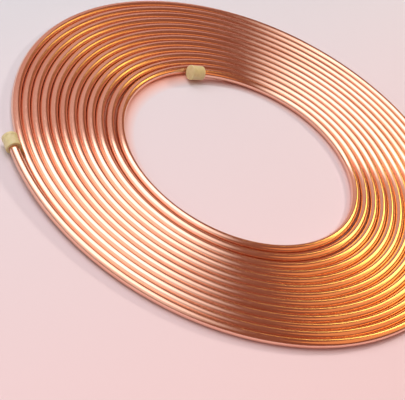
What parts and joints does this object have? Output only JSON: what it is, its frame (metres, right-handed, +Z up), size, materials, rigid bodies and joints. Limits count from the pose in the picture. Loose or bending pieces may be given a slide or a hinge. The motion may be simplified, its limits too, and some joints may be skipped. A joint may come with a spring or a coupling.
{
  "type": "copper tube coil",
  "caption": "Flat one-layer pancake coil of round copper tube with an open eye and a slip-on plastic cap on each tube end.",
  "frame": {"origin": "on the floor, under the middle of the coil's outline", "axes": "+Z up through the eye; the picture looks along +Y from above"},
  "size_m": [0.5064, 0.5116, 0.0197],
  "materials": {
    "copper": "bright drawn copper, lightly oxidised, with fine lines along the tube",
    "cap_plastic": "soft cream-yellow translucent polyethylene, satin"
  },
  "bodies": {
    "root": {"coiled_tube": "copper", "outer_end_cap": "cap_plastic", "inner_end_cap": "cap_plastic"}
  },
  "joints": []
}
